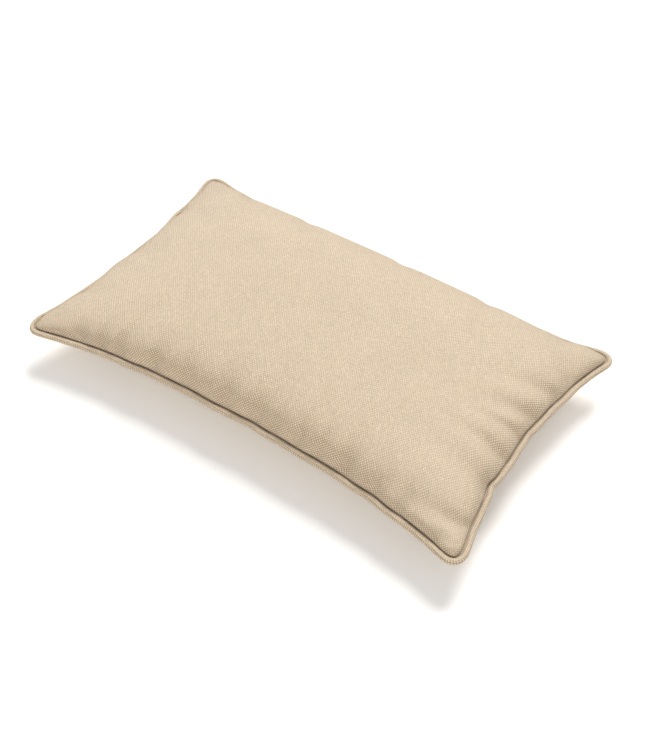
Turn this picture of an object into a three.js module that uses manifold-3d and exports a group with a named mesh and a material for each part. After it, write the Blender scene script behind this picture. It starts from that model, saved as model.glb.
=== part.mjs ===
// A rectangular lumbar cushion lying on its underside: a piped woven cover with a zip along the
// rear edge, and inside it a ticking insert filled with fibre.
// Millimetres. +X runs along the cushion, +Y to the rear edge with the zip, +Z up.

import * as THREE from "three";
import Module from "manifold-3d";

const wasm = await Module();
wasm.setup();

// Outline of the seam line: where its edges would cross, the rounding of its corners, and how far
// each edge draws in between them. Over the piping the cushion is 500 by 300.
const HALF_LENGTH = 247.23;
const FRONT_HALF_WIDTH = 147.08;
const REAR_HALF_WIDTH = 148.07;
const CORNER_RADIUS = 13;
const FRONT_PULL_IN = 23;
const FRONT_PULL_POWER = 2.75;
const REAR_PULL_IN = 16;
const REAR_PULL_POWER = 2;
const SIDE_PULL_IN = 19.5;
const SIDE_PULL_POWER = 2.1;

// The zip holds this share of the rear edge straight and level. The front edge's form turns into the
// rear edge's over the middle of the width, this share of it to either side.
const STRAIGHT_SHARE = 0.68;
const BLEND_SHARE = 0.8;

// Heights: the seam above the floor at the corners, its rise between them, and the two crowns.
const CORNER_SEAM_HEIGHT = 33;
const SEAM_RISE = 6;
const TOP_CROWN = 44;
const BOTTOM_CROWN = 43;
const CROWN_POWER = 2.6;
const CROWN_STEEPNESS = 0.38;

// Stations round the half edges and each corner, and rings from the seam to the centre.
const LONG_EDGE_STATIONS = [0.25, 0.5, STRAIGHT_SHARE, 0.8, 0.885];
const SHORT_EDGE_STATIONS = [0.3, 0.6, 0.8];
const CORNER_SEGMENTS = 4;
const COVER_RINGS = [1, 0.993, 0.975, 0.94, 0.88, 0.78, 0.62, 0.4];
const INSERT_RINGS = [1, 0.985, 0.94, 0.86, 0.75, 0.6, 0.4];

// Piping: a cord inside a folded strip whose two plies run back into the seam.
const PIPING_RADIUS = 2.9;
const PIPING_INNER_RADIUS = 2.2;
const CORD_RADIUS = 1.9;
const PIPING_CENTRE_OFFSET = 3.1;
const SEAM_ALLOWANCE = 6;
const ALLOWANCE_LIFT = 0.5;
const SLIT_HALF = 0.15;
const PLY_TOP = 0.75;
const PIPING_OUTER_SEGMENTS = 8;
const PIPING_INNER_SEGMENTS = 6;
const CORD_SEGMENTS = 8;

// Layers of the cushion from outside in. inset is measured in from the seam line, edge is the height
// at the seam, and crown is how far the layer lies inside the outermost one.
const COVER_OUTSIDE = { inset: 0, edge: 1.05, crown: 0 };
const COVER_INSIDE = { inset: 0.8, edge: 1.85, crown: 0.8 };
const TICKING_OUTSIDE = { inset: 13, edge: 0.15, crown: 2.2 };
const TICKING_INSIDE = { inset: 13.6, edge: 0.15, crown: 2.7 };
const FILL_OUTSIDE = { inset: 14.6, edge: 0, crown: 3.4 };

// Zip: depths are measured down from the seam at the rear edge, and recess inwards from it.
const ZIP_HALF_LENGTH = 165;
const ZIP_OPENING_HALF_LENGTH = 166;
const ZIP_CENTRE_DEPTH = 8;
const HEM_DEPTH = 13;
const HEM_STATIONS = [HEM_DEPTH, 14.5, 17, 20];
const HEM_OUTER_RECESS = 0.4;
const HEM_INNER_RECESS = 1.75;
const OPENING_DEPTH = SEAM_ALLOWANCE + 2;
const TAPE_OUTER_RECESS = 2.15;
const TAPE_INNER_RECESS = 2.75;
const TAPE_RECESS = 4.8;
const TAPE_THICKNESS = 0.5;
const TAPE_EDGE_HALF_GAP = 0.8;
const COIL_HALF_LENGTH = 149.3;
const COIL_GAP_HALF = 0.5;
const COIL_OUTER = 2.9;
const COIL_LOW = 0.3;
const COIL_HIGH = 2.1;
const COIL_PITCH = 4.98;
const COIL_VALLEY = 1.5;
const STOP_LENGTH = 2.4;
const STOP_GAP = 0.3;

// Slider, in its own frame: X along the zip, Y outwards from the tape's face, Z across.
const SLIDER_REST_X = -143;
const SLIDER_FRONT = [2.4, 3.5];
const SLIDER_BACK = [-1.8, -0.8];
const SLIDER_FLANGE = [3.2, 4.4];
const SLIDER_FLANGE_X = [-4.1, 1.5];
const SLIDER_POST_X = [-4.8, -3];
const SLIDER_POST_HALF = 0.2;
const SLIDER_OVERLAP = 0.2;
const BAIL_RADIUS = 0.6;
const BAIL_HALF_LENGTH = 2.8;
const BAIL_HEIGHT = 2.35;
const BAIL_BEND = 1;
const BAIL_BEND_SEGMENTS = 4;
const BAIL_SIDES = 12;
const BAIL_FOOT_DEPTH = 0.5;

// Half widths of the slider's plates along X. They narrow from the mouth, where the rows part, to
// the tail.
const SLIDER_HALF_PLATE = [
  [-5.5, 3.3],
  [-4.7, 4.2],
  [-3.5, 4.5],
  [0, 4.5],
  [4.3, 3.6],
  [5.2, 3.1],
  [5.5, 2.1],
];

// Pull: a narrow link round the bail, and a flat tab hanging from the link.
const LINK_WIRE_RADIUS = 0.5;
const LINK_HALF_WIDTH = 1.45;
const LINK_STRAIGHT = 6.5;
const LINK_SIDES = 10;
const LINK_BEND_SEGMENTS = 8;
const TAB_THICKNESS = 1.2;
const TAB_EYE_RADIUS = 1.15;
const TAB_EYE_RIM = 2.3;
const TAB_EYE_SEGMENTS = 20;
const TAB_RIM_PAST_LEVEL = 0.25;
const TAB_SHOULDER_DEPTH = 5;
const TAB_HALF_WIDTH = 3.3;
const TAB_LENGTH = 17;
const TAB_END_SEGMENTS = 12;

// How far a cutting body runs past the faces it cuts.
const CUT_PAST = 1;
const METALNESS = 0.9;
const METAL_ROUGHNESS = 0.35;
const CLOTH_ROUGHNESS = 0.9;

const COLOURS = {
  cover: 0xe0ceb2,
  piping: 0xdcc8aa,
  cord: 0xefeae0,
  ticking: 0xf3f1ec,
  fibre: 0xfafaf8,
  tape: 0xd8c6a8,
  coil: 0xcbb898,
  metal: 0xb9b4aa,
};

// ---------------------------------------------------------------- the cushion's form

function lerp(a, b, t) {
  return a + (b - a) * t;
}

// 0 along the front edge, rising to 1 along the rear edge.
function rearShare(v) {
  const t = Math.min(Math.max((v + BLEND_SHARE) / (2 * BLEND_SHARE), 0), 1);
  return t * t * (3 - 2 * t);
}

// How far along its edge a point is, 0 to 1. Towards the rear it stays 0 over the zip's length.
function edgeTravel(u, v) {
  const beyondZip = Math.max(0, (Math.abs(u) - STRAIGHT_SHARE) / (1 - STRAIGHT_SHARE));
  return lerp(Math.abs(u), beyondZip, rearShare(v));
}

// Plan position for u along X and v along Y, each -1 to 1 between opposite seams.
function planPosition(u, v, inset) {
  const travel = edgeTravel(u, v);
  const rear = rearShare(v);
  const longPower = lerp(FRONT_PULL_POWER, REAR_PULL_POWER, rear);
  const longPull = lerp(FRONT_PULL_IN, REAR_PULL_IN, rear) * (1 - travel ** longPower);
  const sidePull = SIDE_PULL_IN * (1 - Math.abs(v) ** SIDE_PULL_POWER);
  const halfWidth = lerp(FRONT_HALF_WIDTH, REAR_HALF_WIDTH, rear);
  return [u * (HALF_LENGTH - inset - sidePull), v * (halfWidth - inset - longPull)];
}

function seamHeight(u, v) {
  return CORNER_SEAM_HEIGHT + SEAM_RISE * (1 - (edgeTravel(u, v) * Math.abs(v)) ** 2);
}

function crownShare(along, across) {
  return ((1 - along ** CROWN_POWER) * (1 - across ** CROWN_POWER)) ** CROWN_STEEPNESS;
}

// plan is the point's place on the rounded outline, and square its place on the square one.
function topPoint(plan, [u, v], layer) {
  const [x, y] = planPosition(...plan, layer.inset);
  const crown = TOP_CROWN - layer.crown - layer.edge;
  const z = seamHeight(...plan) + layer.edge + crown * crownShare(Math.abs(u), Math.abs(v));
  return new THREE.Vector3(x, y, z);
}

// The underside is the same form turned over, pressed flat where it meets the floor.
function bottomPoint(plan, [u, v], layer) {
  const [x, y] = planPosition(...plan, layer.inset);
  const crown = BOTTOM_CROWN - layer.crown - layer.edge;
  const drop = crown * crownShare(edgeTravel(u, v), Math.abs(v));
  const z = Math.max(layer.crown, seamHeight(...plan) - layer.edge - drop);
  return new THREE.Vector3(x, y, z);
}

// ---------------------------------------------------------------- rings and lofted solids

function symmetricStations(half) {
  return [...half.map((s) => -s).reverse(), 0, ...half];
}

// Each station has its place on the unit square, and on the square with its corners rounded.
function edgeStation(u, v) {
  return { plan: [u, v], square: [u, v] };
}

// Stations round the corner at (signU, signV), from the edge it is met on to the next one.
function cornerStations(signU, signV) {
  const radiusU = CORNER_RADIUS / HALF_LENGTH;
  const radiusV = CORNER_RADIUS / FRONT_HALF_WIDTH;
  const stations = Array.from({ length: CORNER_SEGMENTS + 1 }, (_, i) => {
    const angle = (Math.PI / 2) * (i / CORNER_SEGMENTS);
    const reach = Math.max(Math.cos(angle), Math.sin(angle));
    const place = (fraction, radius) => 1 - radius * (1 - fraction);
    const [along, across] = [Math.cos(angle), Math.sin(angle)];
    return {
      plan: [signU * place(along, radiusU), signV * place(across, radiusV)],
      square: [signU * place(along / reach, radiusU), signV * place(across / reach, radiusV)],
    };
  });
  return signU * signV > 0 ? stations : stations.reverse();
}

// Counter-clockwise from the front left corner.
function ringStations() {
  const along = symmetricStations(LONG_EDGE_STATIONS);
  const across = symmetricStations(SHORT_EDGE_STATIONS);
  return [
    ...cornerStations(-1, -1),
    ...along.map((s) => edgeStation(s, -1)),
    ...cornerStations(1, -1),
    ...across.map((s) => edgeStation(1, s)),
    ...cornerStations(1, 1),
    ...along.map((s) => edgeStation(-s, 1)),
    ...cornerStations(-1, 1),
    ...across.map((s) => edgeStation(-1, -s)),
  ];
}

const STATIONS = ringStations();

function surfaceRing(surface, layer, scale) {
  const scaled = (pair) => pair.map((s) => s * scale);
  return STATIONS.map(({ plan, square }) => surface(scaled(plan), scaled(square), layer));
}

// Outward plan normals of the seam line at each station.
function seamNormals() {
  const seam = STATIONS.map(({ plan }) => planPosition(...plan, 0));
  return seam.map((_, i) => {
    const [x0, y0] = seam[(i + seam.length - 1) % seam.length];
    const [x1, y1] = seam[(i + 1) % seam.length];
    const length = Math.hypot(x1 - x0, y1 - y0);
    return [(y1 - y0) / length, -(x1 - x0) / length];
  });
}

const NORMALS = seamNormals();

// A ring parallel to the seam line: out from it by offset, up from it by rise.
function seamRing(offset, rise) {
  return STATIONS.map(({ plan }, i) => {
    const [x, y] = planPosition(...plan, 0);
    const [nx, ny] = NORMALS[i];
    return new THREE.Vector3(x + nx * offset, y + ny * offset, seamHeight(...plan) + rise);
  });
}

function signedVolume(points, triangles) {
  let volume = 0;
  for (const [a, b, c] of triangles) {
    volume += points[a].dot(points[b].clone().cross(points[c])) / 6;
  }
  return volume;
}

// A closed solid through a chain of rings. A ring of one point is a pole; a closed chain joins its
// last ring to its first.
function loftRings(rings, closed) {
  const points = rings.flat();
  const starts = [];
  let next = 0;
  for (const ring of rings) {
    starts.push(next);
    next += ring.length;
  }
  const triangles = [];
  const spans = closed ? rings.length : rings.length - 1;
  for (let r = 0; r < spans; r++) {
    const s = (r + 1) % rings.length;
    const count = Math.max(rings[r].length, rings[s].length);
    for (let i = 0; i < count; i++) {
      const j = (i + 1) % count;
      const a = starts[r] + (i % rings[r].length);
      const b = starts[r] + (j % rings[r].length);
      const c = starts[s] + (i % rings[s].length);
      const d = starts[s] + (j % rings[s].length);
      if (a !== b) {
        triangles.push([a, b, d]);
      }
      if (c !== d) {
        triangles.push([a, d, c]);
      }
    }
  }
  return geometryFrom(points, triangles);
}

function geometryFrom(points, triangles) {
  const outward = signedVolume(points, triangles) > 0;
  const geometry = new THREE.BufferGeometry();
  const positions = new Float32Array(points.flatMap((p) => [p.x, p.y, p.z]));
  geometry.setAttribute("position", new THREE.BufferAttribute(positions, 3));
  geometry.setIndex(triangles.flatMap(([a, b, c]) => (outward ? [a, b, c] : [a, c, b])));
  geometry.computeVertexNormals();
  return geometry;
}

function pole(surface, layer) {
  return [surface([0, 0], [0, 0], layer)];
}

function ringsInward(surface, layer, scales) {
  return [...scales.map((scale) => surfaceRing(surface, layer, scale)), pole(surface, layer)];
}

function ringsOutward(surface, layer, scales) {
  return ringsInward(surface, layer, scales).reverse();
}

// ---------------------------------------------------------------- soft pieces

// A cover panel runs down its crown to the seam, then turns in as the seam allowance.
function coverPanel(surface, side) {
  return loftRings([
    ...ringsOutward(surface, COVER_OUTSIDE, COVER_RINGS),
    seamRing(-SEAM_ALLOWANCE, side * (COVER_OUTSIDE.edge + ALLOWANCE_LIFT)),
    seamRing(-SEAM_ALLOWANCE, side * (COVER_INSIDE.edge + ALLOWANCE_LIFT)),
    ...ringsInward(surface, COVER_INSIDE, COVER_RINGS),
  ], false);
}

function tickingPanel(surface) {
  return loftRings([
    ...ringsOutward(surface, TICKING_OUTSIDE, INSERT_RINGS),
    ...ringsInward(surface, TICKING_INSIDE, INSERT_RINGS),
  ], false);
}

function fibreFill() {
  return loftRings([
    ...ringsOutward(topPoint, FILL_OUTSIDE, INSERT_RINGS),
    ...ringsInward(bottomPoint, FILL_OUTSIDE, INSERT_RINGS.slice(1)),
  ], false);
}

function arc(radius, from, to, segments) {
  return Array.from({ length: segments + 1 }, (_, i) => {
    const angle = lerp(from, to, i / segments);
    return [radius * Math.cos(angle), radius * Math.sin(angle)];
  });
}

// The strip folded round the cord: an open ring whose ends run on into the seam as two plies.
function pipingWrap() {
  const outerEnd = Math.PI - Math.asin(PLY_TOP / PIPING_RADIUS);
  const innerEnd = Math.PI - Math.asin(SLIT_HALF / PIPING_INNER_RADIUS);
  const plyEnd = -SEAM_ALLOWANCE - PIPING_CENTRE_OFFSET;
  const section = [
    [plyEnd, -PLY_TOP],
    ...arc(PIPING_RADIUS, -outerEnd, outerEnd, PIPING_OUTER_SEGMENTS),
    [plyEnd, PLY_TOP],
    [plyEnd, SLIT_HALF],
    ...arc(PIPING_INNER_RADIUS, innerEnd, -innerEnd, PIPING_INNER_SEGMENTS),
    [plyEnd, -SLIT_HALF],
  ];
  return loftRings(section.map(([out, up]) => seamRing(PIPING_CENTRE_OFFSET + out, up)), true);
}

function pipingCord() {
  const section = arc(CORD_RADIUS, 0, 2 * Math.PI, CORD_SEGMENTS).slice(0, -1);
  return loftRings(section.map(([out, up]) => seamRing(PIPING_CENTRE_OFFSET + out, up)), true);
}

// ---------------------------------------------------------------- booleans

function toManifold(geometry) {
  const positions = geometry.getAttribute("position").array;
  const index = geometry.getIndex().array;
  return new wasm.Manifold(new wasm.Mesh({
    numProp: 3,
    vertProperties: new Float32Array(positions),
    triVerts: new Uint32Array(index),
  }));
}

function fromManifold(solid) {
  const mesh = solid.getMesh();
  const geometry = new THREE.BufferGeometry();
  geometry.setAttribute("position", new THREE.BufferAttribute(new Float32Array(mesh.vertProperties), 3));
  geometry.setIndex(Array.from(mesh.triVerts));
  geometry.computeVertexNormals();
  return geometry;
}

// A straight prism: the outline's points are [first, second] in the plane that place() sets up.
function prism(outline, from, to, place) {
  const shape = outline.map(([p, q]) => new THREE.Vector2(p, q));
  if (THREE.ShapeUtils.isClockWise(shape)) {
    shape.reverse();
  }
  const rings = [from, to].map((level) => shape.map((point) => place(point.x, point.y, level)));
  const caps = THREE.ShapeUtils.triangulateShape(shape, []);
  const count = outline.length;
  const triangles = caps.flatMap(([a, b, c]) => [[a, c, b], [a + count, b + count, c + count]]);
  for (let i = 0; i < count; i++) {
    const j = (i + 1) % count;
    triangles.push([i, j, j + count], [i, j + count, i + count]);
  }
  return geometryFrom(rings.flat(), triangles);
}

// Outlines in the Y-Z plane swept along X.
function alongX(outline, from, to) {
  return prism(outline, from, to, (y, z, x) => new THREE.Vector3(x, y, z));
}

// Outlines in the X-Z plane swept along Y.
function alongY(outline, from, to) {
  return prism(outline, from, to, (x, z, y) => new THREE.Vector3(x, y, z));
}

function box([x0, x1], [y0, y1], [z0, z1]) {
  return alongX([[y0, z0], [y1, z0], [y1, z1], [y0, z1]], x0, x1);
}

// ---------------------------------------------------------------- the zip

const REAR_Y = planPosition(0, 1, 0)[1];
const REAR_Z = seamHeight(0, 1);
const TAPE_Y = REAR_Y - TAPE_RECESS;
const ZIP_Z = REAR_Z - ZIP_CENTRE_DEPTH;
const PIVOT_Y = TAPE_Y + SLIDER_FRONT[1] + BAIL_HEIGHT;
const TAB_PIVOT_Z = ZIP_Z - LINK_STRAIGHT - LINK_HALF_WIDTH;

// Y of the bottom panel's outer face at a height, read off the panel's own rings.
function rearWallY(z) {
  const wall = COVER_RINGS.map((scale) => bottomPoint([0, scale], [0, scale], COVER_OUTSIDE));
  const lower = wall.findIndex((point) => point.z <= z);
  const above = wall[lower - 1];
  const below = wall[lower];
  return lerp(above.y, below.y, (above.z - z) / (above.z - below.z));
}

// A band that follows the inside of the bottom panel's rear wall, between two recesses.
function rearBand(depths, nearRecess, farRecess) {
  const heights = depths.map((depth) => REAR_Z - depth);
  const near = heights.map((z) => [rearWallY(z) - nearRecess, z]);
  const far = heights.map((z) => [rearWallY(z) - farRecess, z]);
  return { near, far };
}

// The bottom panel is open over the zip, with its edge turned in and back as a hem.
function bottomPanel() {
  const opening = box(
    [-ZIP_OPENING_HALF_LENGTH, ZIP_OPENING_HALF_LENGTH],
    [REAR_Y - OPENING_DEPTH, REAR_Y + CUT_PAST],
    [REAR_Z - HEM_DEPTH, REAR_Z],
  );
  const { near, far } = rearBand(HEM_STATIONS, HEM_OUTER_RECESS, HEM_INNER_RECESS);
  const hem = alongX([...near, ...far.reverse()], -ZIP_HALF_LENGTH, ZIP_HALF_LENGTH);
  const panel = toManifold(coverPanel(bottomPoint, -1));
  return fromManifold(panel.subtract(toManifold(opening)).add(toManifold(hem)));
}

// The upper tape hangs from the seam allowance, where it is sewn in under the piping.
function upperTape() {
  const top = REAR_Z - COVER_OUTSIDE.edge;
  const edge = ZIP_Z + TAPE_EDGE_HALF_GAP;
  const back = TAPE_Y - TAPE_THICKNESS;
  return alongX([
    [REAR_Y - SEAM_ALLOWANCE, top - TAPE_THICKNESS],
    [back, top - TAPE_THICKNESS],
    [back, edge],
    [TAPE_Y, edge],
    [TAPE_Y, top],
    [REAR_Y - SEAM_ALLOWANCE, top],
  ], -ZIP_HALF_LENGTH, ZIP_HALF_LENGTH);
}

// The lower tape drops behind the hem it is sewn to.
function lowerTape() {
  const edge = ZIP_Z - TAPE_EDGE_HALF_GAP;
  const { near, far } = rearBand(HEM_STATIONS.slice(1), TAPE_OUTER_RECESS, TAPE_INNER_RECESS);
  return alongX([
    [TAPE_Y, edge],
    [TAPE_Y, REAR_Z - HEM_DEPTH],
    ...near,
    ...far.reverse(),
    [TAPE_Y - TAPE_THICKNESS, REAR_Z - HEM_DEPTH],
    [TAPE_Y - TAPE_THICKNESS, edge],
  ], -ZIP_HALF_LENGTH, ZIP_HALF_LENGTH);
}

// One coil row, its turns standing as ridges on the outer side.
function coilRow(side) {
  const turns = Math.round((2 * COIL_HALF_LENGTH) / COIL_PITCH);
  const outline = [[-COIL_HALF_LENGTH, COIL_LOW], [COIL_HALF_LENGTH, COIL_LOW]];
  for (let i = 0; i <= 2 * turns; i++) {
    const x = lerp(COIL_HALF_LENGTH, -COIL_HALF_LENGTH, i / (2 * turns));
    outline.push([x, i % 2 === 0 ? COIL_VALLEY : COIL_HIGH]);
  }
  const from = ZIP_Z + side * COIL_GAP_HALF;
  const to = ZIP_Z + side * COIL_OUTER;
  return prism(outline, from, to, (x, out, z) => new THREE.Vector3(x, TAPE_Y + out, z));
}

function zipStop(end, low, high) {
  const inner = COIL_HALF_LENGTH + STOP_GAP;
  const span = [end * inner, end * (inner + STOP_LENGTH)].sort((a, b) => a - b);
  return box(span, [TAPE_Y + COIL_LOW, TAPE_Y + COIL_HIGH], [ZIP_Z + low, ZIP_Z + high]);
}

// ---------------------------------------------------------------- slider and pull

function sliderOutline() {
  const mirrored = SLIDER_HALF_PLATE.map(([x, half]) => [x, -half]);
  return [...SLIDER_HALF_PLATE, ...mirrored.reverse()];
}

function shifted(outline, x, z) {
  return outline.map(([px, pz]) => [px + x, pz + z]);
}

// A round bar whose centreline lies in one plane. path holds [p, q] points and place() sets the plane.
function planarBar(path, closed, radius, sides, place) {
  const last = path.length - 1;
  const section = arc(radius, 0, 2 * Math.PI, sides).slice(0, -1);
  const rings = path.map(([p, q], i) => {
    const [p0, q0] = closed ? path[(i + last) % path.length] : path[Math.max(i - 1, 0)];
    const [p1, q1] = closed ? path[(i + 1) % path.length] : path[Math.min(i + 1, last)];
    const length = Math.hypot(p1 - p0, q1 - q0);
    const normal = [(q1 - q0) / length, -(p1 - p0) / length];
    return section.map(([a, r]) => place(p + normal[0] * a, q + normal[1] * a, r));
  });
  if (closed) {
    return loftRings(rings, true);
  }
  const ends = [path[0], path[last]].map(([p, q]) => [place(p, q, 0)]);
  return loftRings([ends[0], ...rings, ends[1]], false);
}

function arcAbout([p, q], radius, from, to, segments) {
  return arc(radius, from, to, segments).map(([a, b]) => [p + a, q + b]);
}

// Two plates joined by a thin post that runs between the coil rows, with flanges round the rows
// and an arched bail for the pull.
function slider() {
  const place = (geometry) => geometry.translate(SLIDER_REST_X, TAPE_Y, ZIP_Z);
  const outline = sliderOutline();
  const front = alongY(outline, ...SLIDER_FRONT);
  const back = alongY(outline, ...SLIDER_BACK);
  const post = box(
    SLIDER_POST_X,
    [SLIDER_BACK[0] + SLIDER_OVERLAP, SLIDER_FRONT[1] - SLIDER_OVERLAP],
    [-SLIDER_POST_HALF, SLIDER_POST_HALF],
  );
  const flanges = [-1, 1].map((side) => {
    const across = SLIDER_FLANGE.map((z) => z * side).sort((a, b) => a - b);
    return box(SLIDER_FLANGE_X, [COIL_LOW, SLIDER_FRONT[0] + SLIDER_OVERLAP], across);
  });
  const foot = SLIDER_FRONT[1] - BAIL_FOOT_DEPTH;
  const level = SLIDER_FRONT[1] + BAIL_HEIGHT - BAIL_BEND;
  const bendAt = (x, from, to) => arcAbout([x, level], BAIL_BEND, from, to, BAIL_BEND_SEGMENTS);
  const arch = planarBar([
    [-BAIL_HALF_LENGTH, foot],
    ...bendAt(-BAIL_HALF_LENGTH + BAIL_BEND, Math.PI, Math.PI / 2),
    ...bendAt(BAIL_HALF_LENGTH - BAIL_BEND, Math.PI / 2, 0),
    [BAIL_HALF_LENGTH, foot],
  ], false, BAIL_RADIUS, BAIL_SIDES, (x, y, z) => new THREE.Vector3(x, y, z));
  const pieces = [front, back, post, ...flanges, arch].map(place).map(toManifold);
  return fromManifold(pieces.reduce((whole, piece) => whole.add(piece)));
}

// The link hangs from the bail: straight sides with a half circle at each end.
function pullLink() {
  const bendAt = (z, from, to) =>
    arcAbout([PIVOT_Y, z], LINK_HALF_WIDTH, from, to, LINK_BEND_SEGMENTS);
  const path = [
    ...bendAt(ZIP_Z, 0, Math.PI),
    ...bendAt(ZIP_Z - LINK_STRAIGHT, Math.PI, 2 * Math.PI),
  ];
  const place = (y, z, x) => new THREE.Vector3(x + SLIDER_REST_X, y, z);
  return planarBar(path, true, LINK_WIRE_RADIUS, LINK_SIDES, place);
}

// The tab hangs from the link by an eye, and widens to a rounded end.
function pullTab() {
  const endCentre = [0, TAB_HALF_WIDTH - TAB_LENGTH];
  const outline = [
    ...arc(TAB_EYE_RIM, -TAB_RIM_PAST_LEVEL, Math.PI + TAB_RIM_PAST_LEVEL, TAB_END_SEGMENTS),
    [-TAB_HALF_WIDTH, -TAB_SHOULDER_DEPTH],
    ...arcAbout(endCentre, TAB_HALF_WIDTH, Math.PI, 2 * Math.PI, TAB_END_SEGMENTS),
    [TAB_HALF_WIDTH, -TAB_SHOULDER_DEPTH],
  ];
  const faces = [PIVOT_Y - TAB_THICKNESS / 2, PIVOT_Y + TAB_THICKNESS / 2];
  const plate = alongY(shifted(outline, SLIDER_REST_X, TAB_PIVOT_Z), ...faces);
  const circle = arc(TAB_EYE_RADIUS, 0, 2 * Math.PI, TAB_EYE_SEGMENTS).slice(0, -1);
  const cut = [faces[0] - CUT_PAST, faces[1] + CUT_PAST];
  const eye = alongY(shifted(circle, SLIDER_REST_X, TAB_PIVOT_Z), ...cut);
  return fromManifold(toManifold(plate).subtract(toManifold(eye)));
}

// ---------------------------------------------------------------- assembly

const cushion = new THREE.Group();
cushion.name = "lumbar_cushion";

function add(name, geometry, colour) {
  const metal = colour === "metal";
  const material = new THREE.MeshStandardMaterial({
    color: COLOURS[colour],
    metalness: metal ? METALNESS : 0,
    roughness: metal ? METAL_ROUGHNESS : CLOTH_ROUGHNESS,
  });
  const mesh = new THREE.Mesh(geometry, material);
  mesh.name = name;
  cushion.add(mesh);
}

add("cover_top_panel", coverPanel(topPoint, 1), "cover");
add("cover_bottom_panel", bottomPanel(), "cover");
add("piping_wrap", pipingWrap(), "piping");
add("piping_cord", pipingCord(), "cord");
add("insert_top_panel", tickingPanel(topPoint), "ticking");
add("insert_bottom_panel", tickingPanel(bottomPoint), "ticking");
add("fibre_fill", fibreFill(), "fibre");
add("zip_tape_upper", upperTape(), "tape");
add("zip_tape_lower", lowerTape(), "tape");
add("zip_coil_upper", coilRow(1), "coil");
add("zip_coil_lower", coilRow(-1), "coil");
add("zip_top_stop_upper", zipStop(-1, COIL_GAP_HALF, COIL_OUTER), "metal");
add("zip_top_stop_lower", zipStop(-1, -COIL_OUTER, -COIL_GAP_HALF), "metal");
add("zip_bottom_stop", zipStop(1, -COIL_OUTER, COIL_OUTER), "metal");
add("zip_slider", slider(), "metal");
add("zip_pull_link", pullLink(), "metal");
add("zip_pull_tab", pullTab(), "metal");

export default cushion;
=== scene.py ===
"""A piped lumbar cushion on a pale floor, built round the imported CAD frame. Metres, +Z up."""

import math

import bpy
import numpy as np
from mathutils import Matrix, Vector


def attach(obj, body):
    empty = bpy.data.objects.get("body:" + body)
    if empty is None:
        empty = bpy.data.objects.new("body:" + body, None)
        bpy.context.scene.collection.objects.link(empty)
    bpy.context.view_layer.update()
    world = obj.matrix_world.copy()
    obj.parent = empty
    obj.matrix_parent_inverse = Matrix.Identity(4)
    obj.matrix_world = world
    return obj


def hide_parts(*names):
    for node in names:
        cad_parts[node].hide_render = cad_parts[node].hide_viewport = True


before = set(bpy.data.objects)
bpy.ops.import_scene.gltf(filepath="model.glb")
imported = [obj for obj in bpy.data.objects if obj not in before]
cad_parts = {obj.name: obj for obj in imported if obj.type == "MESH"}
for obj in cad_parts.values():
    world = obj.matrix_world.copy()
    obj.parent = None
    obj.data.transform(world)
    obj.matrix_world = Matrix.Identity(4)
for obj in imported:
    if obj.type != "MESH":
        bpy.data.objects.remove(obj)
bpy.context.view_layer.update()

# -------- sizes

# The seam line: where its edges would cross, its rounded corners, and how far each edge draws in.
HALF_LENGTH = 0.24723
FRONT_HALF_WIDTH = 0.14708
REAR_HALF_WIDTH = 0.14807
CORNER_RADIUS = 0.013
FRONT_PULL_IN = 0.023
FRONT_PULL_POWER = 2.75
REAR_PULL_IN = 0.016
REAR_PULL_POWER = 2
SIDE_PULL_IN = 0.0195
SIDE_PULL_POWER = 2.1
STRAIGHT_SHARE = 0.68

# The front and rear halves blend over this share of the half width, either side of the middle.
REAR_BLEND = 0.8
# The rounded corners fade into the square grid with this power of the distance from the middle.
CORNER_FADE = 24

# Heights: the seam at the corners, its rise between them, and the two crowns above and below it.
CORNER_SEAM_HEIGHT = 0.033
SEAM_RISE = 0.006
TOP_CROWN = 0.044
BOTTOM_CROWN = 0.043
CROWN_POWER = 2.35
CROWN_STEEPNESS = 0.40
SEAM_EDGE = 0.00105
TOP_SEAM_EDGE = 0.0018

# The cloth leans in from the seam more than the fill behind it.
SHOULDER_DROP = 0.15
SHOULDER_REACH = 0.16

# Small wanderings of the sewn seam. Waves are (length, size, phase); pinches are (edge, place along
# it from -1 to 1, depth, half width along it). They fade out at the corners, beside the zip and
# away from the seam, and the seam dips by a share of each.
SEAM_WAVES = [(0.093, 0.0005, 0.4), (0.051, 0.0003, 2.1), (0.033, 0.00018, 4.4)]
SEAM_PINCHES = [
    ("right", -0.42, 0.0030, 0.050),
    ("right", 0.05, 0.0016, 0.060),
    ("front", 0.62, 0.0012, 0.050),
    ("front", 0.05, 0.0010, 0.040),
    ("front", -0.45, 0.0008, 0.050),
    ("left", 0.20, 0.0012, 0.090),
]
SHIFT_CORNER_SHARE = 0.12
SHIFT_ZIP_CLEARANCE = 0.02
SHIFT_ZIP_FADE = 0.1
SHIFT_FADE = 40
SHIFT_DIP = 0.5
ON_SEAM = 1e-7

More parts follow.
